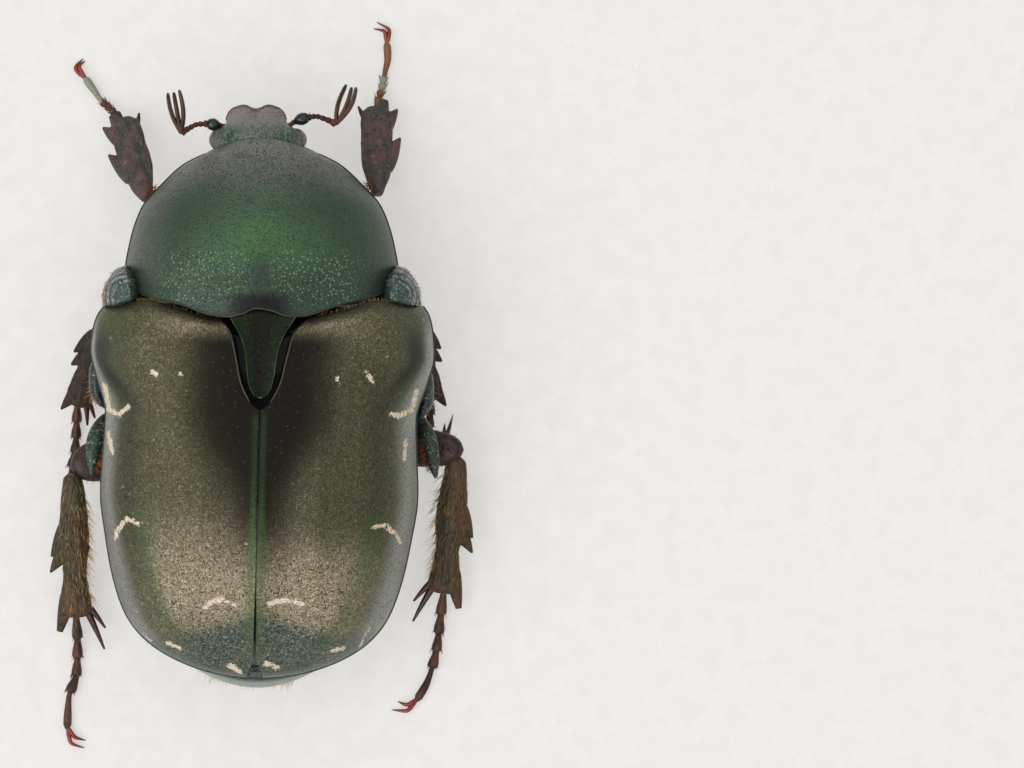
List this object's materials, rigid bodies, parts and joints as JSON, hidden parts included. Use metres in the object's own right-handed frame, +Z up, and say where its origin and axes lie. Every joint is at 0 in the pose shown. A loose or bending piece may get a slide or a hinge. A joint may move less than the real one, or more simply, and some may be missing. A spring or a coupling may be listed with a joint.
{
  "type": "flower chafer beetle, Protaetia shamil",
  "caption": "Life-size still model of a flower chafer beetle standing on its feet, with a green pronotum and bronze wing cases with cream spots.",
  "frame": {"origin": "on the floor, below the middle of the whole insect's bounding box", "axes": "-Y is ahead, the way the head points, +X is the beetle's left and +Z is up, from its feet to its back"},
  "size_m": [0.0159, 0.0276, 0.0084],
  "materials": {
    "pronotum": "green cuticle, satin, densely punctured",
    "elytra": "bronze olive cuticle with cream spots, satin",
    "underside": "black green cuticle, glossy",
    "shoulder": "teal grey cuticle, wrinkled",
    "head": "grey green cuticle, punctured",
    "eye": "dark grey, finely faceted",
    "leg": "dark brown cuticle with a green sheen, hairy",
    "foot": "red brown cuticle, satin",
    "antenna": "red brown cuticle, satin"
  },
  "bodies": {
    "root": {"pronotum": "pronotum", "head": "head", "eye_left": "eye", "antenna_left": "antenna", "shoulder_left": "shoulder", "elytron_left": "elytra", "eye_right": "eye", "antenna_right": "antenna", "shoulder_right": "shoulder", "elytron_right": "elytra", "scutellum": "pronotum", "thorax": "underside", "abdomen": "underside", "pygidium": "underside", "coxa_front_left": "underside", "femur_front_left": "leg", "tibia_front_left": "leg", "foot_front_left": "foot", "coxa_front_right": "underside", "femur_front_right": "leg", "tibia_front_right": "leg", "foot_front_right": "foot", "coxa_middle_left": "underside", "femur_middle_left": "leg", "tibia_middle_left": "leg", "foot_middle_left": "foot", "coxa_middle_right": "underside", "femur_middle_right": "leg", "tibia_middle_right": "leg", "foot_middle_right": "foot", "coxa_hind_left": "underside", "femur_hind_left": "leg", "tibia_hind_left": "leg", "foot_hind_left": "foot", "coxa_hind_right": "underside", "femur_hind_right": "leg", "tibia_hind_right": "leg", "foot_hind_right": "foot"}
  },
  "joints": []
}
